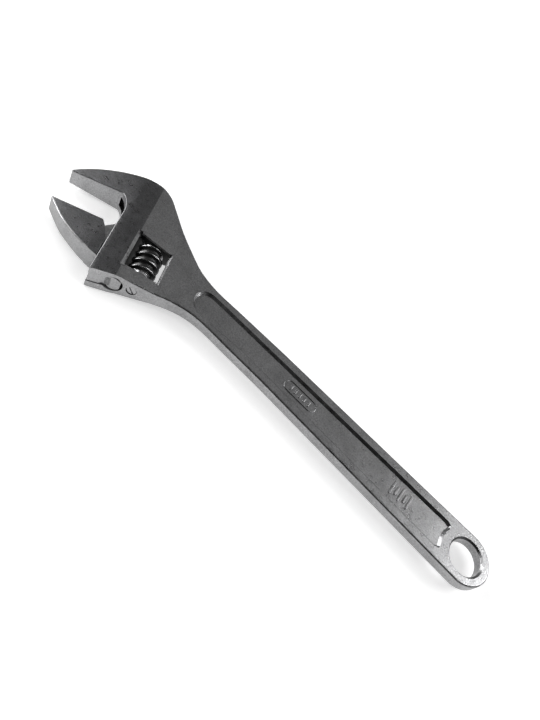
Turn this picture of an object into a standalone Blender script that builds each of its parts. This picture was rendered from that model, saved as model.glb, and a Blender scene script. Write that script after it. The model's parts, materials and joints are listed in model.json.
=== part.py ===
"""Adjustable wrench of the 18 inch size: a forged body with a fixed jaw, a sliding jaw with a round rack,
and a worm (the knurl) on a screwed pin, with its spring.

Two frames are used. The handle frame has its origin at the hanging hole's centre, X along the handle towards
the head, and Z across the wrench's thickness. The head frame is turned from it by HEAD_ANGLE, and its origin is
where the rack's axis meets the plane of the fixed jaw's face: U runs along the jaws towards their tips, and V
is the direction in which the sliding jaw opens.
"""

import math

import bmesh
import bpy
from mathutils import Matrix, Vector

MM = 0.001

# Overall sizes
HEAD_ANGLE = math.radians(24.0)
HEAD_REACH = 368.6 * MM
HEAD_OFFSET = 26.35 * MM
HEAD_HALF_THICKNESS = 12.3 * MM
THROAT = 7.8 * MM
HANDLE_HALF_THICKNESS = 5.3 * MM
HANDLE_END_RADIUS = 21.5 * MM
HANDLE_HALF_WIDTH_AT_HOLE = 21.1 * MM
HANDLE_HALF_WIDTH_AT_NECK = 18.3 * MM
HOLE_RADIUS = 13.9 * MM
HOLE_CHAMFER = 1.5 * MM
NECK_TO_HEAD = 165.0 * MM

# Panel sunk into each side of the handle
PANEL_DEPTH = 2.2 * MM
PANEL_FILLET = 0.7 * MM
PANEL_RIM = 7.7 * MM
PANEL_HOLE_MARGIN = 8.3 * MM
PANEL_TO_HEAD = 80.8 * MM
PANEL_CORNER_START = 1.0 * MM
PANEL_CORNER_END = 3.0 * MM
PANEL_CORNER_TAPER = 2.0 * MM
PANEL_TIP_START = 25.0 * MM

# Jaws
JAW_LENGTH = 73.0 * MM
JAW_OPENING = 34.85 * MM
FIXED_TIP_HALF_THICKNESS = 7.2 * MM
SLIDING_TIP_HALF_THICKNESS = 7.5 * MM
SLIDING_HALF_THICKNESS = 10.1 * MM
FRONT_EDGE = 19.8 * MM
JAW_RUNNING_GAP = 1.1 * MM
SLIDING_JAW_DEPTH = 36.4 * MM
END_FACE_FRONT = 86.6 * MM
END_FACE_BACK = 82.0 * MM
BELLY = 81.2 * MM

# Rack and its slide
RACK_RADIUS = 8.0 * MM
RACK_GAP = 0.3 * MM
RACK_TOP = -7.3 * MM
RACK_LENGTH = 54.5 * MM
RACK_END_CHAMFER = 1.2 * MM
WEB_HALF_THICKNESS = 5.0 * MM
BORE_END_ROOM = 1.0 * MM
SLOT_STEP = 0.25 * MM
SLOT_FRONT = 0.2 * MM
WEB_END_RISE = 4.0 * MM
WEB_BACK = 2.0 * MM
WEB_FRONT_GAP = 0.5 * MM
WEB_REACH = 14.0 * MM

# Worm, its pin and its spring
WORM_AXIS = 15.4 * MM
WORM_RADIUS = 12.2 * MM
WORM_ROOT_RADIUS = 9.0 * MM
WORM_PITCH = 7.6 * MM
WORM_LAND = 2.7 * MM
WORM_FLANK = 1.0 * MM
WORM_PHASE = 48.7 * MM
WORM_TOP = 37.4 * MM
WORM_LENGTH = 30.6 * MM
WORM_END_CHAMFER = 1.2 * MM
COLLAR_STEP = 0.2 * MM
COLLAR_LENGTH = 1.4 * MM
MESH_CLEARANCE = 0.35 * MM
PIN_RADIUS = 3.2 * MM
PIN_HEAD_RADIUS = 4.1 * MM
PIN_HEAD_LENGTH = 2.6 * MM
PIN_HEAD_SINK = 0.5 * MM
PIN_SEAT_DEPTH = 7.0 * MM
PIN_SLOT_WIDTH = 1.3 * MM
PIN_SLOT_DEPTH = 1.2 * MM
PIN_SLOT_TURN = math.radians(33.0)
PIN_HEAD_CHAMFER = 0.4 * MM
PIN_END_CHAMFER = 0.6 * MM
FIT_GAP = 0.3 * MM
SPRING_RADIUS = 4.9 * MM
SPRING_WIRE_RADIUS = 0.5 * MM
SPRING_LENGTH = 13.0 * MM
SPRING_TURNS = 4
SPRING_STEPS = 12

# Window for the worm
WINDOW_WIDTH = 29.2 * MM
WINDOW_FRONT = -1.2 * MM
WINDOW_SLANT = 4.4 * MM
WINDOW_END_GAP = 0.6 * MM
WINDOW_CORNER = 2.4 * MM

# Softened edges
HANDLE_EDGE = 1.8 * MM
HEAD_EDGE = 0.6 * MM
JAW_EDGE = 1.6 * MM
JAW_FACE_EDGE = 0.35 * MM
HEAD_EDGE_START = -3.0 * MM
JAW_EDGE_START = 10.0 * MM
JAW_FACE_MARGIN = 0.5 * MM
SHARP_ANGLE = math.radians(35.0)

# How far a cutter runs past what it cuts, and how near points are before they are welded
CUT_ROOM = 20.0 * MM
WELD = 0.001 * MM

ROUND_STEPS = 40
WORM_STEPS = 36
OUTLINE_STEP = math.radians(9.0)

HEAD_FRAME = (
    Matrix.Translation((HEAD_REACH, -HEAD_OFFSET, 0.0)) @ Matrix.Rotation(HEAD_ANGLE, 4, "Z")
)
# A shape turned about its own Z lies along V here, with its own X towards the jaw tips.
ALONG_V = Matrix(((1, 0, 0, 0), (0, 0, 1, 0), (0, -1, 0, 0), (0, 0, 0, 1)))
# A flat outline drawn in X and Y stands on edge here: X along U, Y across the thickness.
ON_EDGE = Matrix.Rotation(math.radians(90.0), 4, "X")


def new_collection(name, hidden=False):
    made = bpy.data.collections.new(name)
    bpy.context.scene.collection.children.link(made)
    made.hide_render = hidden
    return made


def steel(name, colour, roughness):
    material = bpy.data.materials.new(name)
    material.use_nodes = True
    shader = material.node_tree.nodes["Principled BSDF"]
    shader.inputs["Base Color"].default_value = (*colour, 1.0)
    shader.inputs["Metallic"].default_value = 1.0
    shader.inputs["Roughness"].default_value = roughness
    return material


def add_object(name, mesh, matrix, collection):
    made = bpy.data.objects.new(name, mesh)
    made.matrix_world = matrix
    collection.objects.link(made)
    if collection is CUTTERS:
        made.hide_render = True
        made.display_type = "WIRE"
    return made


def evaluated_mesh(obj):
    """The object's mesh as its modifiers leave it, welded."""
    bpy.context.view_layer.update()
    graph = bpy.context.evaluated_depsgraph_get()
    mesh = bpy.data.meshes.new_from_object(obj.evaluated_get(graph))
    shape = bmesh.new()
    shape.from_mesh(mesh)
    bmesh.ops.remove_doubles(shape, verts=shape.verts, dist=WELD)
    bmesh.ops.recalc_face_normals(shape, faces=shape.faces)
    shape.to_mesh(mesh)
    shape.free()
    return mesh


def settled(obj):
    """The object with its modifiers applied to its mesh."""
    mesh = evaluated_mesh(obj)
    obj.modifiers.clear()
    obj.data = mesh
    return obj


def boolean(target, other, operation):
    modifier = target.modifiers.new(operation.lower(), "BOOLEAN")
    modifier.operation = operation
    modifier.solver = "EXACT"
    modifier.object = other
    return target


def slab(name, outline, low, high, matrix, collection=None):
    """A flat outline made solid between two heights of its own Z."""
    curve = bpy.data.curves.new(name, "CURVE")
    curve.dimensions = "2D"
    curve.fill_mode = "BOTH"
    curve.extrude = (high - low) / 2
    spline = curve.splines.new("POLY")
    spline.points.add(len(outline) - 1)
    spline.use_cyclic_u = True
    for point, (x, y) in zip(spline.points, outline):
        point.co = (x, y, 0.0, 1.0)
    drawn = bpy.data.objects.new(name + "_outline", curve)
    bpy.context.scene.collection.objects.link(drawn)
    drawn.matrix_world = matrix @ Matrix.Translation((0.0, 0.0, (low + high) / 2))
    mesh = evaluated_mesh(drawn)
    made = add_object(name, mesh, drawn.matrix_world.copy(), collection or CUTTERS)
    bpy.data.objects.remove(drawn)
    return made


def rod(name, radius, low, high, matrix):
    """A round bar along its own Z."""
    shape = bmesh.new()
    bmesh.ops.create_cone(
        shape, cap_ends=True, segments=ROUND_STEPS, radius1=radius, radius2=radius, depth=high - low
    )
    bmesh.ops.translate(shape, verts=shape.verts, vec=(0.0, 0.0, (low + high) / 2))
    mesh = bpy.data.meshes.new(name)
    shape.to_mesh(mesh)
    shape.free()
    return add_object(name, mesh, matrix, CUTTERS)


def turned(name, profile, matrix, collection=None):
    """A profile of (radius, height) points, running down its outer side, turned about its own Z."""
    mesh = bpy.data.meshes.new(name)
    points = [(radius, 0.0, height) for radius, height in profile]
    edges = [(index, index + 1) for index in range(len(points) - 1)]
    mesh.from_pydata(points, edges, [])
    made = add_object(name, mesh, matrix, collection or CUTTERS)
    screw = made.modifiers.new("turn", "SCREW")
    screw.axis = "Z"
    screw.steps = ROUND_STEPS
    screw.render_steps = ROUND_STEPS
    screw.use_merge_vertices = True
    screw.merge_threshold = WELD
    return settled(made)


def arc(centre, radius, start, end):
    count = max(2, math.ceil(abs(end - start) / OUTLINE_STEP))
    angles = [start + (end - start) * index / count for index in range(count + 1)]
    return [
        (centre[0] + radius * math.cos(angle), centre[1] + radius * math.sin(angle)) for angle in angles
    ]


def rounded(corners, radius):
    """The closed outline through the corners, each one rounded to the radius."""
    outline = []
    for index, corner in enumerate(corners):
        here = Vector(corner)
        before = (Vector(corners[index - 1]) - here).normalized()
        after = (Vector(corners[(index + 1) % len(corners)]) - here).normalized()
        half = before.angle(after) / 2
        middle = here + (before + after).normalized() * radius / math.sin(half)
        start = here + before * radius / math.tan(half) - middle
        turn = start.angle_signed(here + after * radius / math.tan(half) - middle)
        first = math.atan2(start.y, start.x)
        outline += arc(middle, radius, first, first - turn)
    return outline


def smooth(points, share=3):
    """Points on a smooth curve through the given ones, the last one left out."""
    vectors = [Vector(point) for point in points]
    count = len(vectors)
    slopes = []
    for index, here in enumerate(vectors):
        before = vectors[max(index - 1, 0)]
        after = vectors[min(index + 1, count - 1)]
        slopes.append((after - before) / ((after - here).length + (here - before).length))
    curve = []
    for index in range(count - 1):
        start = vectors[index]
        end = vectors[index + 1]
        length = (end - start).length
        for step in range(share):
            t = step / share
            curve.append(
                start * (2 * t**3 - 3 * t**2 + 1)
                + slopes[index] * length * (t**3 - 2 * t**2 + t)
                + end * (3 * t**2 - 2 * t**3)
                + slopes[index + 1] * length * (t**3 - t**2)
            )
    return [(point.x, point.y) for point in curve]


def in_handle_frame(points):
    turned_points = [HEAD_FRAME @ Vector((u, v, 0.0)) for u, v in points]
    return [(point.x, point.y) for point in turned_points]


def handle_half_width(x):
    neck = HEAD_REACH - NECK_TO_HEAD
    share = x / neck
    return HANDLE_HALF_WIDTH_AT_HOLE + (HANDLE_HALF_WIDTH_AT_NECK - HANDLE_HALF_WIDTH_AT_HOLE) * share


def body_outline():
    """The forging's outline in the handle frame, anticlockwise from the fixed jaw's tip."""
    throat = FRONT_EDGE + THROAT
    head = [
        (JAW_LENGTH, 0.0),
        (throat, 0.0),
        (throat - 3.6 * MM, 4.0 * MM),
        (throat - 6.4 * MM, 10.0 * MM),
        (FRONT_EDGE, 17.0 * MM),
        (FRONT_EDGE, END_FACE_FRONT),
        (-3.5 * MM, END_FACE_BACK),
        (-15.0 * MM, BELLY),
    ]
    belly = [(-30.0, 79.8), (-46.0, 78.3), (-62.0, 79.4), (-77.0, 83.7), (-99.0, 93.4)]
    neck = [(-97.8, 54.2), (-77.4, 46.0), (-60.2, 35.6), (-46.5, 22.2)]
    back = [(-31.0, 4.8), (-17.3, -12.4), (-9.0, -21.8), (3.0, -27.4), (18.0, -27.9)]
    jaw = [(35.0, -24.2), (53.0, -16.4), (66.5, -7.6), (JAW_LENGTH / MM + 0.4, -1.6)]
    neck_x = HEAD_REACH - NECK_TO_HEAD
    half_width = handle_half_width(neck_x)
    upper = in_handle_frame((u * MM, v * MM) for u, v in belly) + [(neck_x, half_width)]
    lower = [(neck_x, -half_width)] + in_handle_frame((u * MM, v * MM) for u, v in neck + back + jaw)
    lean = math.atan2(HANDLE_HALF_WIDTH_AT_HOLE - half_width, neck_x)
    start = math.radians(90.0) - lean
    handle_end = arc((0.0, 0.0), HANDLE_END_RADIUS, start, math.radians(360.0) - start)
    return in_handle_frame(head) + smooth(upper) + [upper[-1]] + handle_end + smooth(lower) + [lower[-1]]


def body_thickness():
    """The forging seen along V: half of its thickness at each place along U."""
    handle = HANDLE_HALF_THICKNESS
    head = HEAD_HALF_THICKNESS
    rise = [
        (-92.0 * MM, handle),
        (-78.0 * MM, handle + 0.1 * MM),
        (-58.0 * MM, handle + 0.6 * MM),
        (-32.0 * MM, handle + 2.1 * MM),
        (0.0, head),
        (16.0 * MM, head),
        (FRONT_EDGE + 8.0 * MM, head - 1.3 * MM),
        (JAW_LENGTH, FIXED_TIP_HALF_THICKNESS),
        (JAW_LENGTH + CUT_ROOM, FIXED_TIP_HALF_THICKNESS - 1.4 * MM),
    ]
    top = [(-(HEAD_REACH + 2 * HANDLE_END_RADIUS), handle)] + rise
    return top + [(u, -z) for u, z in reversed(top)]


def panel_outline():
    """The sunk panel: an arc round the hole, straight sides, and a rounded end that leans to the belly."""
    reach = HOLE_RADIUS + PANEL_HOLE_MARGIN
    near = reach + PANEL_CORNER_START
    near_edge = reach + PANEL_CORNER_END
    far = HEAD_REACH - NECK_TO_HEAD + PANEL_TIP_START
    near_half = handle_half_width(near) - PANEL_RIM
    far_half = handle_half_width(far) - PANEL_RIM
    spread = math.asin((near_half - PANEL_CORNER_TAPER) / reach)
    end = HEAD_REACH - PANEL_TO_HEAD
    hole_end = arc((0.0, 0.0), reach, spread, -spread)
    tip = [
        (far, -far_half),
        (end - 18.0 * MM, -9.6 * MM),
        (end - 7.0 * MM, -8.6 * MM),
        (end - 1.6 * MM, -4.4 * MM),
        (end, 1.6 * MM),
        (end - 2.0 * MM, 8.0 * MM),
        (end - 8.0 * MM, 13.2 * MM),
        (end - 18.0 * MM, 15.0 * MM),
        (end - 36.0 * MM, 13.0 * MM),
        (far, far_half + 0.6 * MM),
    ]
    return hole_end + [(near_edge, -near_half)] + smooth(tip) + [tip[-1], (near_edge, near_half)]


def sliding_jaw_outline():
    inner = FRONT_EDGE + JAW_RUNNING_GAP
    face = JAW_OPENING
    depths = [(32.6, 32.3), (40.3, 28.5), (48.7, 23.6), (57.7, 17.5), (68.8, 6.9)]
    curved = [(inner, face + SLIDING_JAW_DEPTH)]
    curved += [(u * MM, face + v * MM) for u, v in depths]
    curved += [(JAW_LENGTH + 1.5 * MM, face + 1.0 * MM)]
    corners = [
        (JAW_LENGTH + 0.6 * MM, face),
        (inner + 9.5 * MM, face),
        (inner + 6.1 * MM, face + 5.0 * MM),
        (inner, face + 17.2 * MM),
    ]
    return corners + smooth(curved) + [curved[-1]]


def sliding_jaw_thickness():
    top = [
        (FRONT_EDGE - 5.0 * MM, SLIDING_HALF_THICKNESS),
        (FRONT_EDGE + 9.0 * MM, SLIDING_HALF_THICKNESS - 0.2 * MM),
        (JAW_LENGTH, SLIDING_TIP_HALF_THICKNESS),
        (JAW_LENGTH + CUT_ROOM, SLIDING_TIP_HALF_THICKNESS - 1.2 * MM),
    ]
    return top + [(u, -z) for u, z in reversed(top)]


def worm(name, crest, root, land, low, high, collection=None):
    """A right-hand worm thread about V, longer than low to high, with a pointed cap at each end."""
    flank = land / 2 + WORM_FLANK
    below = math.ceil((WORM_PHASE - low) / WORM_PITCH) + 1
    turns = below + math.ceil((high - WORM_PHASE) / WORM_PITCH) + 1
    middle = WORM_PHASE - below * WORM_PITCH
    heights = [
        (root, WORM_PITCH / 2),
        (root, flank),
        (crest, land / 2),
        (crest, -land / 2),
        (root, -flank),
        (root, -WORM_PITCH / 2),
    ]
    mesh = bpy.data.meshes.new(name)
    points = [(radius, 0.0, middle + height) for radius, height in heights]
    mesh.from_pydata(points, [(index, index + 1) for index in range(len(points) - 1)], [])
    made = add_object(name, mesh, worm_frame(), collection or CUTTERS)
    screw = made.modifiers.new("thread", "SCREW")
    screw.axis = "Z"
    screw.steps = WORM_STEPS
    screw.render_steps = WORM_STEPS
    screw.iterations = turns
    screw.screw_offset = WORM_PITCH
    settled(made)
    shape = bmesh.new()
    shape.from_mesh(made.data)
    open_edges = [edge for edge in shape.edges if edge.is_boundary]
    centre = middle + (turns - 1) * WORM_PITCH / 2
    ends = ((middle - WORM_PITCH / 2, False), (middle + (turns - 0.5) * WORM_PITCH, True))
    for height, upper in ends:
        tip = shape.verts.new((0.0, 0.0, height))
        for edge in open_edges:
            if (edge.verts[0].co.z + edge.verts[1].co.z > 2 * centre) == upper:
                shape.faces.new((edge.verts[0], edge.verts[1], tip))
    bmesh.ops.recalc_face_normals(shape, faces=shape.faces)
    shape.to_mesh(made.data)
    shape.free()
    return made


def worm_frame():
    return HEAD_FRAME @ Matrix.Translation((-WORM_AXIS, 0.0, 0.0)) @ ALONG_V


def soften(obj, width_at):
    """Bevels each sharp edge by the width that its middle calls for."""
    settled(obj)
    widest = max(HANDLE_EDGE, JAW_EDGE)
    shape = bmesh.new()
    shape.from_mesh(obj.data)
    weights = shape.edges.layers.float.new("bevel_weight_edge")
    for edge in shape.edges:
        if len(edge.link_faces) == 2 and edge.calc_face_angle() > SHARP_ANGLE:
            middle = obj.matrix_world @ ((edge.verts[0].co + edge.verts[1].co) / 2)
            edge[weights] = width_at(HEAD_FRAME.inverted() @ middle) / widest
    shape.to_mesh(obj.data)
    shape.free()
    bevel = obj.modifiers.new("soft_edges", "BEVEL")
    bevel.limit_method = "WEIGHT"
    bevel.width = widest
    bevel.segments = 2
    bevel.use_clamp_overlap = True
    bevel.loop_slide = False


def make_body():
    body = slab("body", body_outline(), -2 * HEAD_HALF_THICKNESS, 2 * HEAD_HALF_THICKNESS, Matrix(), PARTS)
    sides = slab("body_sides", body_thickness(), -1.0, 1.0, HEAD_FRAME @ ON_EDGE)
    boolean(body, sides, "INTERSECT")
    soften(body, lambda place: HANDLE_EDGE if place.x < HEAD_EDGE_START else HEAD_EDGE)
    head_end = END_FACE_FRONT + CUT_ROOM

    hole_top = HANDLE_HALF_THICKNESS + CUT_ROOM
    hole_flare = HOLE_RADIUS + HOLE_CHAMFER + CUT_ROOM
    hole_edge = HANDLE_HALF_THICKNESS - HOLE_CHAMFER
    hole_profile = [
        (0.0, hole_top),
        (hole_flare, hole_top),
        (HOLE_RADIUS, hole_edge),
        (HOLE_RADIUS, -hole_edge),
        (hole_flare, -hole_top),
        (0.0, -hole_top),
    ]
    boolean(body, turned("hanging_hole", hole_profile, Matrix()), "DIFFERENCE")

    floor = HANDLE_HALF_THICKNESS - PANEL_DEPTH
    for side, low, high in (("upper", floor, 3 * floor), ("lower", -3 * floor, -floor)):
        panel = slab(side + "_panel", panel_outline(), low, high, Matrix())
        fillet = panel.modifiers.new("fillet", "BEVEL")
        fillet.width = PANEL_FILLET
        fillet.segments = 2
        fillet.limit_method = "ANGLE"
        fillet.angle_limit = math.radians(50.0)
        boolean(body, panel, "DIFFERENCE")

    bore_top = RACK_TOP - BORE_END_ROOM
    bore = rod("rack_bore", RACK_RADIUS + RACK_GAP, bore_top, head_end, HEAD_FRAME @ ALONG_V)
    boolean(body, bore, "DIFFERENCE")
    slot_half = WEB_HALF_THICKNESS + RACK_GAP
    slot_top = bore_top + SLOT_STEP
    slot_run = head_end - slot_top
    slot_outline = [
        (0.0, slot_top),
        (FRONT_EDGE + SLOT_FRONT, slot_top),
        (FRONT_EDGE + SLOT_FRONT + slot_run, head_end),
        (0.0, head_end),
    ]
    boolean(body, slab("web_slot", slot_outline, -slot_half, slot_half, HEAD_FRAME), "DIFFERENCE")

    window_back = WINDOW_FRONT - WINDOW_WIDTH
    window_top = WORM_TOP - WINDOW_END_GAP
    window_end = WORM_TOP + WORM_LENGTH + WINDOW_END_GAP
    window_corners = [
        (WINDOW_FRONT, window_top - WINDOW_SLANT),
        (window_back, window_top),
        (window_back, window_end),
        (WINDOW_FRONT, window_end),
    ]
    window_outline = rounded(window_corners, WINDOW_CORNER)
    through = 2 * HEAD_HALF_THICKNESS
    boolean(body, slab("worm_window", window_outline, -through, through, HEAD_FRAME), "DIFFERENCE")

    head_seat = pin_head_top() - PIN_HEAD_LENGTH - FIT_GAP
    pin_hole = rod("pin_hole", PIN_RADIUS + FIT_GAP, pin_top() - FIT_GAP, head_end, worm_frame())
    boolean(body, pin_hole, "DIFFERENCE")
    pin_seat = rod("pin_seat", PIN_HEAD_RADIUS + FIT_GAP, head_seat, head_end, worm_frame())
    boolean(body, pin_seat, "DIFFERENCE")
    return body


def pin_top():
    return WORM_TOP - WINDOW_END_GAP - WINDOW_SLANT - PIN_SEAT_DEPTH


def pin_head_top():
    return BELLY - PIN_HEAD_SINK


def make_sliding_jaw():
    thick = 2 * SLIDING_HALF_THICKNESS
    jaw = slab("sliding_jaw", sliding_jaw_outline(), -thick, thick, HEAD_FRAME, PARTS)
    sides = slab("sliding_jaw_sides", sliding_jaw_thickness(), -1.0, 1.0, HEAD_FRAME @ ON_EDGE)
    boolean(jaw, sides, "INTERSECT")
    outer = FRONT_EDGE + JAW_EDGE_START
    face = JAW_OPENING + JAW_FACE_MARGIN
    soften(jaw, lambda place: JAW_EDGE if place.x > outer and place.y > face else JAW_FACE_EDGE)

    top = JAW_OPENING + RACK_TOP
    bottom = top + RACK_LENGTH
    front = FRONT_EDGE - WEB_FRONT_GAP
    inside = FRONT_EDGE + WEB_REACH
    web_outline = [
        (WEB_BACK, top),
        (front - 0.7 * MM, top),
        (front + 8.7 * MM, top + 9.4 * MM),
        (inside, JAW_OPENING + 8.0 * MM),
        (inside, JAW_OPENING + 28.0 * MM),
        (inside - 10.0 * MM, JAW_OPENING + 34.0 * MM),
        (front, JAW_OPENING + SLIDING_JAW_DEPTH - 1.5 * MM),
        (front, bottom + WEB_END_RISE),
        (RACK_RADIUS + 2.0 * MM, bottom + WEB_END_RISE / 2),
        (RACK_RADIUS - 1.5 * MM, bottom),
        (WEB_BACK, bottom),
    ]
    web = slab("web", web_outline, -WEB_HALF_THICKNESS, WEB_HALF_THICKNESS, HEAD_FRAME)
    boolean(jaw, web, "UNION")
    bar_profile = [
        (0.0, bottom),
        (RACK_RADIUS - RACK_END_CHAMFER, bottom),
        (RACK_RADIUS, bottom - RACK_END_CHAMFER),
        (RACK_RADIUS, top + RACK_END_CHAMFER),
        (RACK_RADIUS - RACK_END_CHAMFER, top),
        (0.0, top),
    ]
    bar = turned("rack_bar", bar_profile, HEAD_FRAME @ ALONG_V)
    boolean(jaw, bar, "UNION")
    tooth_tips = WORM_AXIS - WORM_ROOT_RADIUS - MESH_CLEARANCE
    flat_outline = [
        (-tooth_tips - CUT_ROOM, top - CUT_ROOM),
        (-tooth_tips, top - CUT_ROOM),
        (-tooth_tips, bottom + CUT_ROOM),
        (-tooth_tips - CUT_ROOM, bottom + CUT_ROOM),
    ]
    boolean(jaw, slab("rack_flat", flat_outline, -CUT_ROOM, CUT_ROOM, HEAD_FRAME), "DIFFERENCE")
    teeth = worm(
        "rack_teeth",
        WORM_RADIUS + MESH_CLEARANCE,
        WORM_ROOT_RADIUS - MESH_CLEARANCE,
        WORM_LAND + 2 * MESH_CLEARANCE,
        top,
        bottom,
    )
    boolean(jaw, teeth, "DIFFERENCE")
    return jaw


def make_worm():
    low = WORM_TOP
    high = WORM_TOP + WORM_LENGTH
    collar = WORM_ROOT_RADIUS - COLLAR_STEP
    reach = WORM_RADIUS + FIT_GAP
    barrel_profile = [
        (0.0, high),
        (collar, high),
        (collar, high - COLLAR_LENGTH),
        (reach, high - COLLAR_LENGTH - WORM_END_CHAMFER),
        (reach, low + COLLAR_LENGTH + WORM_END_CHAMFER),
        (collar, low + COLLAR_LENGTH),
        (collar, low),
        (0.0, low),
    ]
    knurl = worm("knurl", WORM_RADIUS, WORM_ROOT_RADIUS, WORM_LAND, low, high, PARTS)
    boolean(knurl, turned("knurl_barrel", barrel_profile, worm_frame()), "INTERSECT")
    bore = rod("knurl_bore", PIN_RADIUS + FIT_GAP, low - CUT_ROOM, high + CUT_ROOM, worm_frame())
    boolean(knurl, bore, "DIFFERENCE")
    seat_radius = SPRING_RADIUS + SPRING_WIRE_RADIUS + FIT_GAP
    seat_end = spring_top() + SPRING_LENGTH + FIT_GAP
    seat = rod("spring_seat", seat_radius, low - CUT_ROOM, seat_end, worm_frame())
    boolean(knurl, seat, "DIFFERENCE")
    return knurl


def spring_top():
    wall_slope = WINDOW_SLANT / WINDOW_WIDTH
    far_side = WORM_AXIS + SPRING_RADIUS + SPRING_WIRE_RADIUS
    from_front = far_side + WINDOW_FRONT
    wall = WORM_TOP - WINDOW_END_GAP - WINDOW_SLANT + wall_slope * from_front
    return wall + FIT_GAP


def make_pin():
    head_top = pin_head_top()
    profile = [
        (0.0, head_top),
        (PIN_HEAD_RADIUS - PIN_HEAD_CHAMFER, head_top),
        (PIN_HEAD_RADIUS, head_top - PIN_HEAD_CHAMFER),
        (PIN_HEAD_RADIUS, head_top - PIN_HEAD_LENGTH),
        (PIN_RADIUS, head_top - PIN_HEAD_LENGTH),
        (PIN_RADIUS, pin_top() + PIN_END_CHAMFER),
        (PIN_RADIUS - PIN_END_CHAMFER, pin_top()),
        (0.0, pin_top()),
    ]
    pin = turned("knurl_pin", profile, worm_frame(), PARTS)
    half = PIN_SLOT_WIDTH / 2
    reach = 2 * PIN_HEAD_RADIUS
    slot_outline = [(-half, -reach), (half, -reach), (half, reach), (-half, reach)]
    slot_frame = worm_frame() @ Matrix.Rotation(PIN_SLOT_TURN, 4, "Z")
    slot = slab("pin_slot", slot_outline, head_top - PIN_SLOT_DEPTH, head_top + reach, slot_frame)
    return boolean(pin, slot, "DIFFERENCE")


def make_spring():
    """A coil with its ends closed flat enough to sit on the window's wall and in the knurl's seat."""
    start = spring_top() + SPRING_WIRE_RADIUS
    rise = SPRING_LENGTH - 2 * SPRING_WIRE_RADIUS
    count = SPRING_TURNS * SPRING_STEPS
    curve = bpy.data.curves.new("knurl_spring", "CURVE")
    curve.dimensions = "3D"
    curve.bevel_depth = SPRING_WIRE_RADIUS
    curve.bevel_resolution = 1
    curve.use_fill_caps = True
    spline = curve.splines.new("POLY")
    spline.points.add(count)
    for index, point in enumerate(spline.points):
        angle = 2 * math.pi * index / SPRING_STEPS
        height = start + rise * index / count
        point.co = (SPRING_RADIUS * math.cos(angle), SPRING_RADIUS * math.sin(angle), height, 1.0)
    drawn = add_object("spring_path", curve, worm_frame(), PARTS)
    mesh = evaluated_mesh(drawn)
    bpy.data.objects.remove(drawn)
    return add_object("knurl_spring", mesh, worm_frame(), PARTS)


def place_on_ground(parts):
    """Moves everything so that the origin is under the middle of the wrench as it lies flat."""
    bpy.context.view_layer.update()
    graph = bpy.context.evaluated_depsgraph_get()
    corners = []
    for part in parts:
        evaluated = part.evaluated_get(graph)
        corners += [evaluated.matrix_world @ vertex.co for vertex in evaluated.data.vertices]
    lowest = Vector(min(corner[axis] for corner in corners) for axis in range(3))
    highest = Vector(max(corner[axis] for corner in corners) for axis in range(3))
    middle = (lowest + highest) / 2
    shift = Matrix.Translation((-middle.x, -middle.y, -lowest.z))
    for obj in bpy.data.objects:
        obj.matrix_world = shift @ obj.matrix_world


def shade(obj, material):
    obj.data.materials.clear()
    obj.data.materials.append(material)
    obj.data.shade_smooth()
    obj.data.set_sharp_from_angle(angle=SHARP_ANGLE)


for old in list(bpy.data.objects):
    bpy.data.objects.remove(old)
PARTS = new_collection("adjustable_wrench")
CUTTERS = new_collection("cutters", hidden=True)

parts = {
    make_body(): steel("plated_forging", (0.32, 0.32, 0.33), 0.42),
    make_sliding_jaw(): steel("plated_jaw", (0.30, 0.30, 0.31), 0.38),
    make_worm(): steel("worm_steel", (0.30, 0.30, 0.31), 0.25),
    make_pin(): steel("pin_steel", (0.40, 0.40, 0.41), 0.35),
    make_spring(): steel("spring_steel", (0.25, 0.25, 0.26), 0.35),
}
for part, material in parts.items():
    shade(part, material)
place_on_ground(parts)
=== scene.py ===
"""Looks of the adjustable wrench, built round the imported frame.

The forging, the sliding jaw, the worm, its pin and its spring are made again at a finer grain from the same
sizes, with plated-steel materials, a pale floor and studio light.

Lengths are in metres. The handle frame has its origin at the hanging hole's centre, X along the handle
towards the head and Z across the thickness. The head frame is turned from it by HEAD_ANGLE: U runs along the
jaws towards their tips, and V is the direction in which the sliding jaw opens.
"""

import json
import math

import bmesh
import bpy
from mathutils import Euler, Matrix, Vector

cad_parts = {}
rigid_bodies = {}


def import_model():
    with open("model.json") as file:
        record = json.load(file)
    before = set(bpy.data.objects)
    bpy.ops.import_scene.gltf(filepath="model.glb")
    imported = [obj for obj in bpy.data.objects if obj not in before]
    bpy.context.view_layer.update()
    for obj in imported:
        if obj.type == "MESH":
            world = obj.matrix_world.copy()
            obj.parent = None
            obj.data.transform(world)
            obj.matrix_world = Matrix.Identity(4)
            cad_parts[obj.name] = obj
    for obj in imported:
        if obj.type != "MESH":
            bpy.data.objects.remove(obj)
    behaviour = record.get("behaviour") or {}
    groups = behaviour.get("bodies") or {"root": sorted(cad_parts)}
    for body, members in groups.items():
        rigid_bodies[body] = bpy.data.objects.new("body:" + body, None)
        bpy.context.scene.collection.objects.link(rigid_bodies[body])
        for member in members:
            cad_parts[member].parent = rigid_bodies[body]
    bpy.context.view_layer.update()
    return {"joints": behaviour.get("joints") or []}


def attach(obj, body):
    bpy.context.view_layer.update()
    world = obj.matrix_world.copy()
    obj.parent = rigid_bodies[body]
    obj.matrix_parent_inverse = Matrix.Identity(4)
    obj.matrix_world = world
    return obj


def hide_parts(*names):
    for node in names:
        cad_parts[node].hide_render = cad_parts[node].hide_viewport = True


MM = 0.001

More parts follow.
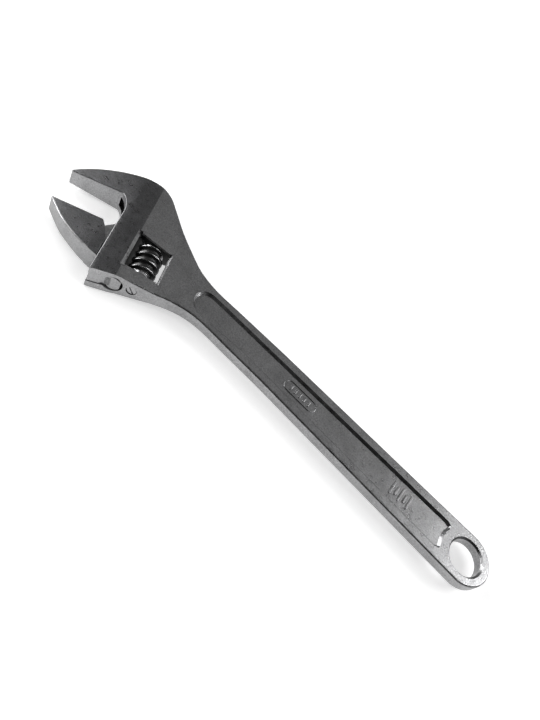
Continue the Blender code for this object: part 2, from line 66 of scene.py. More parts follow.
# Overall sizes
HEAD_ANGLE = math.radians(24.0)
HEAD_REACH = 368.6 * MM
HEAD_OFFSET = 26.35 * MM
HEAD_HALF_THICKNESS = 12.3 * MM
THROAT = 7.8 * MM
HANDLE_HALF_THICKNESS = 5.3 * MM
HANDLE_END_RADIUS = 21.5 * MM
HANDLE_HALF_WIDTH_AT_HOLE = 21.1 * MM
HANDLE_HALF_WIDTH_AT_NECK = 18.3 * MM
HOLE_RADIUS = 13.9 * MM
HOLE_CHAMFER = 1.5 * MM
NECK_TO_HEAD = 165.0 * MM

# Panel sunk into each side of the handle
PANEL_DEPTH = 2.2 * MM
PANEL_RIM = 7.7 * MM
PANEL_HOLE_MARGIN = 8.3 * MM
PANEL_TO_HEAD = 80.8 * MM
PANEL_CORNER_START = 1.0 * MM
PANEL_CORNER_END = 3.0 * MM
PANEL_CORNER_TAPER = 2.0 * MM
PANEL_TIP_START = 25.0 * MM
PANEL_CORNER = 2.0 * MM
PANEL_CORNER_ANGLE = math.radians(50.0)

# Jaws
JAW_LENGTH = 73.0 * MM
JAW_OPENING = 34.85 * MM
FIXED_TIP_HALF_THICKNESS = 7.2 * MM
SLIDING_TIP_HALF_THICKNESS = 7.5 * MM
SLIDING_HALF_THICKNESS = 10.1 * MM
FRONT_EDGE = 19.8 * MM
JAW_RUNNING_GAP = 1.1 * MM
SLIDING_JAW_DEPTH = 36.4 * MM
END_FACE_FRONT = 86.6 * MM
END_FACE_BACK = 82.0 * MM
BELLY = 81.2 * MM

# Rack and its slide
RACK_RADIUS = 8.0 * MM
RACK_GAP = 0.3 * MM
RACK_TOP = -7.3 * MM
RACK_LENGTH = 54.5 * MM
RACK_END_CHAMFER = 1.2 * MM
WEB_HALF_THICKNESS = 5.0 * MM
BORE_END_ROOM = 1.0 * MM
SLOT_STEP = 0.25 * MM
SLOT_FRONT = 0.2 * MM
WEB_END_RISE = 4.0 * MM
WEB_BACK = 2.0 * MM
WEB_FRONT_GAP = 0.5 * MM
WEB_REACH = 14.0 * MM

# Worm, its pin and its spring
WORM_AXIS = 15.4 * MM
WORM_RADIUS = 12.2 * MM
WORM_ROOT_RADIUS = 9.0 * MM
WORM_PITCH = 7.6 * MM
WORM_LAND = 2.7 * MM
WORM_FLANK = 1.0 * MM
WORM_PHASE = 48.7 * MM
WORM_TOP = 37.4 * MM
WORM_LENGTH = 30.6 * MM
WORM_END_CHAMFER = 1.2 * MM
COLLAR_EDGE = 0.5 * MM
COLLAR_STEP = 0.2 * MM
COLLAR_LENGTH = 1.4 * MM
MESH_CLEARANCE = 0.35 * MM
PIN_RADIUS = 3.2 * MM
PIN_HEAD_RADIUS = 4.1 * MM
PIN_HEAD_LENGTH = 2.6 * MM
PIN_HEAD_SINK = 0.5 * MM
PIN_SEAT_DEPTH = 7.0 * MM
PIN_SLOT_WIDTH = 1.3 * MM
PIN_SLOT_DEPTH = 1.2 * MM
PIN_SLOT_TURN = math.radians(33.0)
PIN_END_CHAMFER = 0.6 * MM
FIT_GAP = 0.3 * MM
SPRING_RADIUS = 4.9 * MM
SPRING_WIRE_RADIUS = 0.5 * MM
SPRING_LENGTH = 13.0 * MM
SPRING_TURNS = 4
SPRING_STEPS = 40

# Window for the worm
WINDOW_WIDTH = 29.2 * MM
WINDOW_FRONT = -1.2 * MM
WINDOW_SLANT = 4.4 * MM
WINDOW_END_GAP = 0.6 * MM
WINDOW_CORNER = 2.4 * MM

# Softened edges
HANDLE_EDGE = 1.8 * MM
HEAD_EDGE = 0.6 * MM
JAW_EDGE = 1.6 * MM
JAW_FACE_EDGE = 0.35 * MM
JAW_EDGE_START = 10.0 * MM
JAW_FACE_MARGIN = 0.5 * MM
HEAD_EDGE_END = 6.0 * MM
EDGE_CHANGE = 40.0 * MM
WIDEST_EDGE = 4.0 * MM
EDGE_STEPS = 4
SHARP_ANGLE = math.radians(35.0)

# How far a cutter runs past what it cuts, how far a shape that sets the thickness reaches to each side of
# the head, and how near points, or how flat faces, have to be to be joined
CUT_ROOM = 20.0 * MM
SIDE_REACH = 1.0
WELD = 0.001 * MM
FLAT_ANGLE = math.radians(0.2)

ROUND_STEPS = 96
WORM_STEPS = 96
OUTLINE_STEP = math.radians(4.0)

# Raised marks in the panels
MARK_HEIGHT = 0.7 * MM
MARK_SINK = 0.3 * MM
MARK_EDGE = 0.35 * MM
MARK_EDGE_STEPS = 3
MARK_EDGE_ANGLE = math.radians(40.0)
MARK_HALF_WIDTH = 0.9 * MM
CAPSULE_X = 172.0 * MM
CAPSULE_LENGTH = 22.0 * MM
CAPSULE_WIDTH = 11.0 * MM
CAPSULE_BAND = 0.9 * MM
BAR_COUNT = 5
BAR_PITCH = 4.6 * MM
BAR_HALF_LENGTH = 2.6 * MM
BAR_CORNER = 0.6 * MM
TICKS_X = 65.0 * MM
TICK_PITCH = 4.2 * MM
TICK_HALF_LENGTHS = (6.6 * MM, 4.2 * MM, 6.6 * MM, 4.2 * MM, 6.6 * MM)
TICK_CORNER = 0.7 * MM

# Broken edges of the window: (width on the face, depth down the wall)
WINDOW_FRONT_CHAMFER = (2.6 * MM, 1.9 * MM)
WINDOW_TOP_CHAMFER = (1.1 * MM, 0.9 * MM)
WINDOW_BACK_CHAMFER = (1.8 * MM, 1.8 * MM)
WINDOW_END_CHAMFER = (0.5 * MM, 0.5 * MM)

# Where the materials change, also where shade is painted on the window's walls, the rack's teeth and the
# worm's grooves, highlights on the worm's crests and ends, and a dark reflection on its lands: a face counts
# as flat when its normal leans no further than FLAT_NORMAL
FLAT_NORMAL = 0.9
WALL_NORMAL = 0.4
GROUND_HEAD_HEIGHT = 9.0 * MM
GROUND_JAW_HEIGHT = 6.0 * MM
PAINTED_SHADE_WINDOW_ABOVE = 6.0 * MM
PAINTED_SHADE_WINDOW_BELOW = 9.0 * MM
PAINTED_HIGHLIGHT_END = 2.8 * MM
PAINTED_HIGHLIGHT_CREST = 0.6 * MM
PAINTED_REFLECTION_LAND = 0.05 * MM

# Noise in the platings: patches for each metre, the middle of the noise that is used, and the gloss's swing
CLOUD_SCALE = 55.0
GLOSS_SCALE = 240.0
NOISE_LOW = 0.3
NOISE_HIGH = 0.7
GLOSSIER = 0.05
DULLER = 0.06
LIGHT_SPECK_SHARE = 0.6
# Sockets of a colour Mix node
MIX_A = 6
MIX_B = 7
MIX_RESULT = 2

# Camera: its place in the handle frame, its turn in degrees, and its lens and sensor in millimetres
CAMERA_PLACE = (175.234 * MM, 326.991 * MM, 417.889 * MM)
CAMERA_TURN = (36.6732, -23.4380, -140.8287)
CAMERA_LENS = 33.2248
CAMERA_SENSOR = 36.0
CAMERA_SHIFT = (0.00556, -0.08333)
CAMERA_CLIP = 0.01

# Studio
FLOOR_GAP = 0.0005
FLOOR_HALF_SIZE = 6.0
FLOOR_COLOUR = 0.80
FLAG_COLOUR = 0.01
FLOOR_GLOW = 0.55
WORLD_HORIZON = 0.28
WORLD_TOP = 0.13
WORLD_STEPS = ((0.2, 0.26), (0.45, 0.11))
# The flag's two ends along X, and its bends up from the floor as (Y, Z).
FLAG_SPAN = (-2.4, 0.95)
FLAG_BENDS = ((1.7, 0.04), (1.7, 1.2), (0.5, 2.2))
# Each lamp: name, place, target, width, height, power in watts.
LAMPS = (
    ("hole_end_softbox", (-1.40, -1.08, 1.26), (-0.18, 0.0, 0.0), 1.0, 1.1, 22.0),
    ("dim_back_panel", (0.05, -1.35, 1.65), (0.05, 0.0, 0.0), 1.3, 0.7, 0.8),
    ("left_high_softbox", (1.70, -0.50, 1.15), (0.15, 0.0, 0.0), 0.9, 0.9, 13.0),
    ("overhead_softbox", (-1.10, -0.10, 1.75), (-0.2, 0.0, 0.0), 0.6, 0.6, 5.0),
    ("front_left_softbox", (1.95, 0.95, 1.10), (0.1, 0.0, 0.0), 0.9, 0.9, 22.0),
    ("left_softbox", (1.90, -0.75, 0.62), (0.15, 0.0, 0.0), 0.8, 0.6, 6.0),
)

HEAD_FRAME = (
    Matrix.Translation((HEAD_REACH, -HEAD_OFFSET, 0.0)) @ Matrix.Rotation(HEAD_ANGLE, 4, "Z")
)
# A shape turned about its own Z lies along V here, with its own X towards the jaw tips.
ALONG_V = Matrix(((1, 0, 0, 0), (0, 0, 1, 0), (0, -1, 0, 0), (0, 0, 0, 1)))
# A flat outline drawn in X and Y stands on edge here: X along U, Y across the thickness.
ON_EDGE = Matrix.Rotation(math.radians(90.0), 4, "X")


def evaluated_mesh(obj):
    """The object's mesh as its modifiers leave it, welded."""
    bpy.context.view_layer.update()
    graph = bpy.context.evaluated_depsgraph_get()
    mesh = bpy.data.meshes.new_from_object(obj.evaluated_get(graph))
    shape = bmesh.new()
    shape.from_mesh(mesh)
    bmesh.ops.remove_doubles(shape, verts=shape.verts, dist=WELD)
    bmesh.ops.recalc_face_normals(shape, faces=shape.faces)
    shape.to_mesh(mesh)
    shape.free()
    return mesh


def add_object(name, data, matrix):
    made = bpy.data.objects.new(name, data)
    made.matrix_world = matrix
    bpy.context.scene.collection.objects.link(made)
    return made


def object_from(shape, name, matrix):
    """A new object with the bmesh as its mesh; the bmesh is freed."""
    mesh = bpy.data.meshes.new(name)
    shape.to_mesh(mesh)
    shape.free()
    return add_object(name, mesh, matrix)


def settled(obj):
    """The object with its modifiers applied to its mesh."""
    mesh = evaluated_mesh(obj)
    obj.modifiers.clear()
    obj.data = mesh
    return obj


def combined(target, other, operation):
    """The target after one Boolean with the other, which is removed."""
    modifier = target.modifiers.new(operation.lower(), "BOOLEAN")
    modifier.operation = operation
    modifier.solver = "EXACT"
    modifier.object = other
    settled(target)
    bpy.data.objects.remove(other)
    return target


def bevelled(obj, width, segments, least_angle, clamped):
    """The object with each edge that turns by more than the angle cut back by the width."""
    bevel = obj.modifiers.new("edges", "BEVEL")
    bevel.width = width
    bevel.segments = segments
    bevel.use_clamp_overlap = clamped
    bevel.limit_method = "ANGLE"
    bevel.angle_limit = least_angle
    return settled(obj)


def rod(name, radius, low, high, matrix):
    """A round bar along its own Z."""
    shape = bmesh.new()
    bmesh.ops.create_cone(
        shape, cap_ends=True, segments=ROUND_STEPS, radius1=radius, radius2=radius, depth=high - low
    )
    bmesh.ops.translate(shape, verts=shape.verts, vec=(0.0, 0.0, (low + high) / 2))
    return object_from(shape, name, matrix)


def arc(centre, radius, start, end):
    count = max(2, math.ceil(abs(end - start) / OUTLINE_STEP))
    angles = [start + (end - start) * index / count for index in range(count + 1)]
    return [
        (centre[0] + radius * math.cos(angle), centre[1] + radius * math.sin(angle)) for angle in angles
    ]


def rounded(corners, radius):
    """The closed outline through the corners, each one rounded to the radius."""
    outline = []
    for index, corner in enumerate(corners):
        here = Vector(corner)
        before = (Vector(corners[index - 1]) - here).normalized()
        after = (Vector(corners[(index + 1) % len(corners)]) - here).normalized()
        half = before.angle(after) / 2
        middle = here + (before + after).normalized() * radius / math.sin(half)
        start = here + before * radius / math.tan(half) - middle
        turn = start.angle_signed(here + after * radius / math.tan(half) - middle)
        first = math.atan2(start.y, start.x)
        outline += arc(middle, radius, first, first - turn)
    return outline


def smooth(points, share=3):
    """Points on a smooth curve through the given ones, the last one left out."""
    vectors = [Vector(point) for point in points]
    count = len(vectors)
    slopes = []
    for index, here in enumerate(vectors):
        before = vectors[max(index - 1, 0)]
        after = vectors[min(index + 1, count - 1)]
        slopes.append((after - before) / ((after - here).length + (here - before).length))
    curve = []
    for index in range(count - 1):
        start = vectors[index]
        end = vectors[index + 1]
        length = (end - start).length
        for step in range(share):
            t = step / share
            curve.append(
                start * (2 * t**3 - 3 * t**2 + 1)
                + slopes[index] * length * (t**3 - 2 * t**2 + t)
                + end * (3 * t**2 - 2 * t**3)
                + slopes[index + 1] * length * (t**3 - t**2)
            )
    return [(point.x, point.y) for point in curve]


def in_handle_frame(points):
    turned_points = [HEAD_FRAME @ Vector((u, v, 0.0)) for u, v in points]
    return [(point.x, point.y) for point in turned_points]


def handle_half_width(x):
    neck = HEAD_REACH - NECK_TO_HEAD
    share = x / neck
    return HANDLE_HALF_WIDTH_AT_HOLE + (HANDLE_HALF_WIDTH_AT_NECK - HANDLE_HALF_WIDTH_AT_HOLE) * share


def body_outline():
    """The forging's outline in the handle frame, anticlockwise from the fixed jaw's tip."""
    throat = FRONT_EDGE + THROAT
    head = [
        (JAW_LENGTH, 0.0),
        (throat, 0.0),
        (throat - 3.6 * MM, 4.0 * MM),
        (throat - 6.4 * MM, 10.0 * MM),
        (FRONT_EDGE, 17.0 * MM),
        (FRONT_EDGE, END_FACE_FRONT),
        (-3.5 * MM, END_FACE_BACK),
        (-15.0 * MM, BELLY),
    ]
    belly = [(-30.0, 79.8), (-46.0, 78.3), (-62.0, 79.4), (-77.0, 83.7), (-99.0, 93.4)]
    neck = [(-97.8, 54.2), (-77.4, 46.0), (-60.2, 35.6), (-46.5, 22.2)]
    back = [(-31.0, 4.8), (-17.3, -12.4), (-9.0, -21.8), (3.0, -27.4), (18.0, -27.9)]
    jaw = [(35.0, -24.2), (53.0, -16.4), (66.5, -7.6), (JAW_LENGTH / MM + 0.4, -1.6)]
    neck_x = HEAD_REACH - NECK_TO_HEAD
    half_width = handle_half_width(neck_x)
    upper = in_handle_frame((u * MM, v * MM) for u, v in belly) + [(neck_x, half_width)]
    lower = [(neck_x, -half_width)] + in_handle_frame((u * MM, v * MM) for u, v in neck + back + jaw)
    lean = math.atan2(HANDLE_HALF_WIDTH_AT_HOLE - half_width, neck_x)
    start = math.radians(90.0) - lean
    handle_end = arc((0.0, 0.0), HANDLE_END_RADIUS, start, math.radians(360.0) - start)
    return in_handle_frame(head) + smooth(upper) + [upper[-1]] + handle_end + smooth(lower) + [lower[-1]]


def body_thickness():
    """The forging seen along V: half of its thickness at each place along U."""
    handle = HANDLE_HALF_THICKNESS
    head = HEAD_HALF_THICKNESS
    rise = [
        (-92.0 * MM, handle),
        (-78.0 * MM, handle + 0.1 * MM),
        (-58.0 * MM, handle + 0.6 * MM),
        (-32.0 * MM, handle + 2.1 * MM),
        (0.0, head),
        (16.0 * MM, head),
        (FRONT_EDGE + 8.0 * MM, head - 1.3 * MM),
        (JAW_LENGTH, FIXED_TIP_HALF_THICKNESS),
        (JAW_LENGTH + CUT_ROOM, FIXED_TIP_HALF_THICKNESS - 1.4 * MM),
    ]
    top = [(-(HEAD_REACH + 2 * HANDLE_END_RADIUS), handle)] + rise
    return top + [(u, -z) for u, z in reversed(top)]


def panel_outline():
    """The sunk panel: an arc round the hole, straight sides, and a rounded end that leans to the belly."""
    reach = HOLE_RADIUS + PANEL_HOLE_MARGIN
    near = reach + PANEL_CORNER_START
    near_edge = reach + PANEL_CORNER_END
    far = HEAD_REACH - NECK_TO_HEAD + PANEL_TIP_START
    near_half = handle_half_width(near) - PANEL_RIM
    far_half = handle_half_width(far) - PANEL_RIM
    spread = math.asin((near_half - PANEL_CORNER_TAPER) / reach)
    end = HEAD_REACH - PANEL_TO_HEAD
    hole_end = arc((0.0, 0.0), reach, spread, -spread)
    tip = [
        (far, -far_half),
        (end - 18.0 * MM, -9.6 * MM),
        (end - 7.0 * MM, -8.6 * MM),
        (end - 1.6 * MM, -4.4 * MM),
        (end, 1.6 * MM),
        (end - 2.0 * MM, 8.0 * MM),
        (end - 8.0 * MM, 13.2 * MM),
        (end - 18.0 * MM, 15.0 * MM),
        (end - 36.0 * MM, 13.0 * MM),
        (far, far_half + 0.6 * MM),
    ]
    return hole_end + [(near_edge, -near_half)] + smooth(tip) + [tip[-1], (near_edge, near_half)]


def sliding_jaw_outline():
    inner = FRONT_EDGE + JAW_RUNNING_GAP
    face = JAW_OPENING
    depths = [(32.6, 32.3), (40.3, 28.5), (48.7, 23.6), (57.7, 17.5), (68.8, 6.9)]
    curved = [(inner, face + SLIDING_JAW_DEPTH)]
    curved += [(u * MM, face + v * MM) for u, v in depths]
    curved += [(JAW_LENGTH + 1.5 * MM, face + 1.0 * MM)]
    corners = [
        (JAW_LENGTH + 0.6 * MM, face),
        (inner + 9.5 * MM, face),
        (inner + 6.1 * MM, face + 5.0 * MM),
        (inner, face + 17.2 * MM),
    ]
    return corners + smooth(curved) + [curved[-1]]


def sliding_jaw_thickness():
    top = [
        (FRONT_EDGE - 5.0 * MM, SLIDING_HALF_THICKNESS),
        (FRONT_EDGE + 9.0 * MM, SLIDING_HALF_THICKNESS - 0.2 * MM),
        (JAW_LENGTH, SLIDING_TIP_HALF_THICKNESS),
        (JAW_LENGTH + CUT_ROOM, SLIDING_TIP_HALF_THICKNESS - 1.2 * MM),
    ]
    return top + [(u, -z) for u, z in reversed(top)]


def worm_frame():
    return HEAD_FRAME @ Matrix.Translation((-WORM_AXIS, 0.0, 0.0)) @ ALONG_V


def pin_top():
    return WORM_TOP - WINDOW_END_GAP - WINDOW_SLANT - PIN_SEAT_DEPTH


def pin_head_top():
    return BELLY - PIN_HEAD_SINK


def spring_top():
    wall_slope = WINDOW_SLANT / WINDOW_WIDTH
    far_side = WORM_AXIS + SPRING_RADIUS + SPRING_WIRE_RADIUS
    from_front = far_side + WINDOW_FRONT
    wall = WORM_TOP - WINDOW_END_GAP - WINDOW_SLANT + wall_slope * from_front
    return wall + FIT_GAP


def slab(name, outline, low, high, matrix):
    """A flat outline made solid between two heights of its own Z."""
    curve = bpy.data.curves.new(name, "CURVE")
    curve.dimensions = "2D"
    curve.fill_mode = "BOTH"
    curve.extrude = (high - low) / 2
    spline = curve.splines.new("POLY")
    spline.points.add(len(outline) - 1)
    spline.use_cyclic_u = True
    for point, (x, y) in zip(spline.points, outline):
        point.co = (x, y, 0.0, 1.0)
    middle = Matrix.Translation((0.0, 0.0, (low + high) / 2))
    drawn = add_object(name + "_outline", curve, matrix @ middle)
    mesh = evaluated_mesh(drawn)
    join_flat_faces(mesh)
    made = add_object(name, mesh, drawn.matrix_world.copy())
    bpy.data.objects.remove(drawn)
    return made


def join_flat_faces(mesh):
    """Joins the flat caps' triangles into whole faces."""
    shape = bmesh.new()
    shape.from_mesh(mesh)
    bmesh.ops.dissolve_limit(shape, angle_limit=FLAT_ANGLE, verts=[], edges=shape.edges)
    shape.to_mesh(mesh)
    shape.free()


def spun_line(name, profile, matrix, steps):
    """A line of (radius, height) points with a Screw modifier about its own Z, and the modifier."""
    mesh = bpy.data.meshes.new(name)
    points = [(radius, 0.0, height) for radius, height in profile]
    mesh.from_pydata(points, [(index, index + 1) for index in range(len(points) - 1)], [])
    made = add_object(name, mesh, matrix)
    screw = made.modifiers.new("turn", "SCREW")
    screw.axis = "Z"
    screw.steps = steps
    screw.render_steps = steps
    return made, screw


def turned(name, profile, matrix):
    """A profile of (radius, height) points, running down its outer side, turned about its own Z."""
    made, screw = spun_line(name, profile, matrix, ROUND_STEPS)
    screw.use_merge_vertices = True
    screw.merge_threshold = WELD
    return settled(made)


def worm(name, heights, low, high):
    """A right-hand thread about V, from one pitch's (radius, height) profile, with a point at each end."""
    below = math.ceil((WORM_PHASE - low) / WORM_PITCH) + 1
    turns = below + math.ceil((high - WORM_PHASE) / WORM_PITCH) + 1
    middle = WORM_PHASE - below * WORM_PITCH
    profile = [(radius, middle + height) for radius, height in heights]
    made, screw = spun_line(name, profile, worm_frame(), WORM_STEPS)
    screw.iterations = turns
    screw.screw_offset = WORM_PITCH
    settled(made)
    shape = bmesh.new()
    shape.from_mesh(made.data)
    open_edges = [edge for edge in shape.edges if edge.is_boundary]
    centre = middle + (turns - 1) * WORM_PITCH / 2
    ends = ((middle - WORM_PITCH / 2, False), (middle + (turns - 0.5) * WORM_PITCH, True))
    for height, upper in ends:
        tip = shape.verts.new((0.0, 0.0, height))
        for edge in open_edges:
            if (edge.verts[0].co.z + edge.verts[1].co.z > 2 * centre) == upper:
                shape.faces.new((edge.verts[0], edge.verts[1], tip))
    bmesh.ops.recalc_face_normals(shape, faces=shape.faces)
    shape.to_mesh(made.data)
    shape.free()
    return made


def soften(obj, width_at):
    """Rounds each sharp edge by the width that width_at gives for its middle in the head frame."""
    shape = bmesh.new()
    shape.from_mesh(obj.data)
    weights = shape.edges.layers.float.get("bevel_weight_edge")
    if weights is None:
        weights = shape.edges.layers.float.new("bevel_weight_edge")
    to_head = HEAD_FRAME.inverted() @ obj.matrix_world
    for edge in shape.edges:
        edge[weights] = 0.0
        if len(edge.link_faces) == 2 and edge.calc_face_angle() > SHARP_ANGLE:
            place = to_head @ ((edge.verts[0].co + edge.verts[1].co) / 2)
            edge[weights] = width_at(place) / WIDEST_EDGE
    shape.to_mesh(obj.data)
    shape.free()
    bevel = obj.modifiers.new("soft_edges", "BEVEL")
    bevel.limit_method = "WEIGHT"
    bevel.width = WIDEST_EDGE
    bevel.segments = EDGE_STEPS
    bevel.use_clamp_overlap = False
    bevel.loop_slide = False
    bevel.miter_outer = "MITER_ARC"
    return settled(obj)


def wedge(name, first, second):
    """A solid with a triangle at each end."""
    shape = bmesh.new()
    corners = [shape.verts.new(corner) for corner in (*first, *second)]
    for face in ((0, 1, 2), (3, 4, 5), (0, 1, 4, 3), (1, 2, 5, 4), (2, 0, 3, 5)):
        shape.faces.new([corners[index] for index in face])
    bmesh.ops.recalc_face_normals(shape, faces=shape.faces)
    return object_from(shape, name, HEAD_FRAME)


def face_height(u):
    """Half of the forging's thickness at a place along U."""
    line = body_thickness()
    line = line[: len(line) // 2]
    for (start, low), (end, high) in zip(line, line[1:]):
        if start <= u <= end:
            return low + (high - low) * (u - start) / (end - start)
    return line[-1][1]


def chamfer_window(body, corners):
    """Breaks the window's edges on both faces: widely towards the jaws, less on the other sides."""
    sizes = (WINDOW_TOP_CHAMFER, WINDOW_BACK_CHAMFER, WINDOW_END_CHAMFER, WINDOW_FRONT_CHAMFER)
    middle = sum((Vector(corner) for corner in corners), Vector((0.0, 0.0))) / len(corners)
    for side in (1.0, -1.0):
        for index, (wide, deep) in enumerate(sizes):
            start = Vector(corners[index])
            end = Vector(corners[(index + 1) % len(corners)])
            along = (end - start).normalized()
            out = Vector((along.y, -along.x))
            if out.dot(start - middle) < 0:
                out = -out
            ends = []
            for place, beyond in ((start, -along), (end, along)):
                place = place + beyond * wide * 0.9
                far = place + out * wide * 1.5
                near = place - out * wide * 0.5
                height = face_height(place.x)
                slope = face_height(place.x + out.x * wide) - height
                ends.append(
                    (
                        (far.x, far.y, side * (height + 1.5 * slope + 0.5 * deep)),
                        (near.x, near.y, side * (height - 1.5 * deep - 0.5 * slope)),
                        (near.x, near.y, side * (height + 3.0 * deep)),
                    )
                )
            combined(body, wedge("edge_cutter", ends[0], ends[1]), "DIFFERENCE")


def make_body():
    body = slab("forging", body_outline(), -2 * HEAD_HALF_THICKNESS, 2 * HEAD_HALF_THICKNESS, Matrix())
    sides = slab("body_sides", body_thickness(), -SIDE_REACH, SIDE_REACH, HEAD_FRAME @ ON_EDGE)
    combined(body, sides, "INTERSECT")

    def outer_edge(place):
        share = min(max((HEAD_EDGE_END - place.x) / EDGE_CHANGE, 0.0), 1.0)
        return HEAD_EDGE + (HANDLE_EDGE - HEAD_EDGE) * share

    soften(body, outer_edge)

    hole_top = HANDLE_HALF_THICKNESS + CUT_ROOM
    hole_flare = HOLE_RADIUS + HOLE_CHAMFER + CUT_ROOM
    hole_edge = HANDLE_HALF_THICKNESS - HOLE_CHAMFER
    hole_profile = [
        (0.0, hole_top),
        (hole_flare, hole_top),
        (HOLE_RADIUS, hole_edge),
        (HOLE_RADIUS, -hole_edge),
        (hole_flare, -hole_top),
        (0.0, -hole_top),
    ]
    combined(body, turned("hanging_hole", hole_profile, Matrix()), "DIFFERENCE")

    floor = HANDLE_HALF_THICKNESS - PANEL_DEPTH
    for side, low, high in (("upper", floor, 3 * floor), ("lower", -3 * floor, -floor)):
        panel = slab(side + "_panel", panel_outline(), low, high, Matrix())
        bevelled(panel, PANEL_CORNER, 1, PANEL_CORNER_ANGLE, False)
        combined(body, panel, "DIFFERENCE")

    head_end = END_FACE_FRONT + CUT_ROOM
    bore_top = RACK_TOP - BORE_END_ROOM
    bore = rod("rack_bore", RACK_RADIUS + RACK_GAP, bore_top, head_end, HEAD_FRAME @ ALONG_V)
    combined(body, bore, "DIFFERENCE")
    slot_half = WEB_HALF_THICKNESS + RACK_GAP
    slot_top = bore_top + SLOT_STEP
    slot_run = head_end - slot_top
    slot_outline = [
        (0.0, slot_top),
        (FRONT_EDGE + SLOT_FRONT, slot_top),
        (FRONT_EDGE + SLOT_FRONT + slot_run, head_end),
        (0.0, head_end),
    ]
    combined(body, slab("web_slot", slot_outline, -slot_half, slot_half, HEAD_FRAME), "DIFFERENCE")

    window_back = WINDOW_FRONT - WINDOW_WIDTH
    window_top = WORM_TOP - WINDOW_END_GAP
    window_end = WORM_TOP + WORM_LENGTH + WINDOW_END_GAP
    window_corners = [
        (WINDOW_FRONT, window_top - WINDOW_SLANT),
        (window_back, window_top),
        (window_back, window_end),
        (WINDOW_FRONT, window_end),
    ]
    window_outline = rounded(window_corners, WINDOW_CORNER)
    through = 2 * HEAD_HALF_THICKNESS
    combined(body, slab("worm_window", window_outline, -through, through, HEAD_FRAME), "DIFFERENCE")

    head_seat = pin_head_top() - PIN_HEAD_LENGTH - FIT_GAP
    pin_hole = rod("pin_hole", PIN_RADIUS + FIT_GAP, pin_top() - FIT_GAP, head_end, worm_frame())
    combined(body, pin_hole, "DIFFERENCE")
    pin_seat = rod("pin_seat", PIN_HEAD_RADIUS + FIT_GAP, head_seat, head_end, worm_frame())
    combined(body, pin_seat, "DIFFERENCE")
    chamfer_window(body, window_corners)
    return body


def make_sliding_jaw():
    thick = 2 * SLIDING_HALF_THICKNESS
    jaw = slab("jaw_block", sliding_jaw_outline(), -thick, thick, HEAD_FRAME)
    profile = sliding_jaw_thickness()
    sides = slab("sliding_jaw_sides", profile, -SIDE_REACH, SIDE_REACH, HEAD_FRAME @ ON_EDGE)
    combined(jaw, sides, "INTERSECT")
    outer = FRONT_EDGE + JAW_EDGE_START
    face = JAW_OPENING + JAW_FACE_MARGIN

    def jaw_edge(place):
        return JAW_EDGE if place.x > outer and place.y > face else JAW_FACE_EDGE

    soften(jaw, jaw_edge)

    top = JAW_OPENING + RACK_TOP
    bottom = top + RACK_LENGTH
    front = FRONT_EDGE - WEB_FRONT_GAP
    inside = FRONT_EDGE + WEB_REACH
    web_outline = [
        (WEB_BACK, top),
        (front - 0.7 * MM, top),
        (front + 8.7 * MM, top + 9.4 * MM),
        (inside, JAW_OPENING + 8.0 * MM),
        (inside, JAW_OPENING + 28.0 * MM),
        (inside - 10.0 * MM, JAW_OPENING + 34.0 * MM),
        (front, JAW_OPENING + SLIDING_JAW_DEPTH - 1.5 * MM),
        (front, bottom + WEB_END_RISE),
        (RACK_RADIUS + 2.0 * MM, bottom + WEB_END_RISE / 2),
        (RACK_RADIUS - 1.5 * MM, bottom),
        (WEB_BACK, bottom),
    ]
    web = slab("web", web_outline, -WEB_HALF_THICKNESS, WEB_HALF_THICKNESS, HEAD_FRAME)
    combined(jaw, web, "UNION")
    bar_profile = [
        (0.0, bottom),
        (RACK_RADIUS - RACK_END_CHAMFER, bottom),
        (RACK_RADIUS, bottom - RACK_END_CHAMFER),
        (RACK_RADIUS, top + RACK_END_CHAMFER),
        (RACK_RADIUS - RACK_END_CHAMFER, top),
        (0.0, top),
    ]
    combined(jaw, turned("rack_bar", bar_profile, HEAD_FRAME @ ALONG_V), "UNION")
    tooth_tips = WORM_AXIS - WORM_ROOT_RADIUS - MESH_CLEARANCE
    flat_outline = [
        (-tooth_tips - CUT_ROOM, top - CUT_ROOM),
        (-tooth_tips, top - CUT_ROOM),
        (-tooth_tips, bottom + CUT_ROOM),
        (-tooth_tips - CUT_ROOM, bottom + CUT_ROOM),
    ]
    combined(jaw, slab("rack_flat", flat_outline, -CUT_ROOM, CUT_ROOM, HEAD_FRAME), "DIFFERENCE")
    flank = WORM_LAND / 2 + MESH_CLEARANCE
    cut_root = WORM_ROOT_RADIUS - MESH_CLEARANCE
    cut_crest = WORM_RADIUS + MESH_CLEARANCE
    heights = [
        (cut_root, WORM_PITCH / 2),
        (cut_root, flank + WORM_FLANK),
        (cut_crest, flank),
        (cut_crest, -flank),
        (cut_root, -flank - WORM_FLANK),
        (cut_root, -WORM_PITCH / 2),
    ]
    combined(jaw, worm("rack_teeth", heights, top, bottom), "DIFFERENCE")
    return jaw


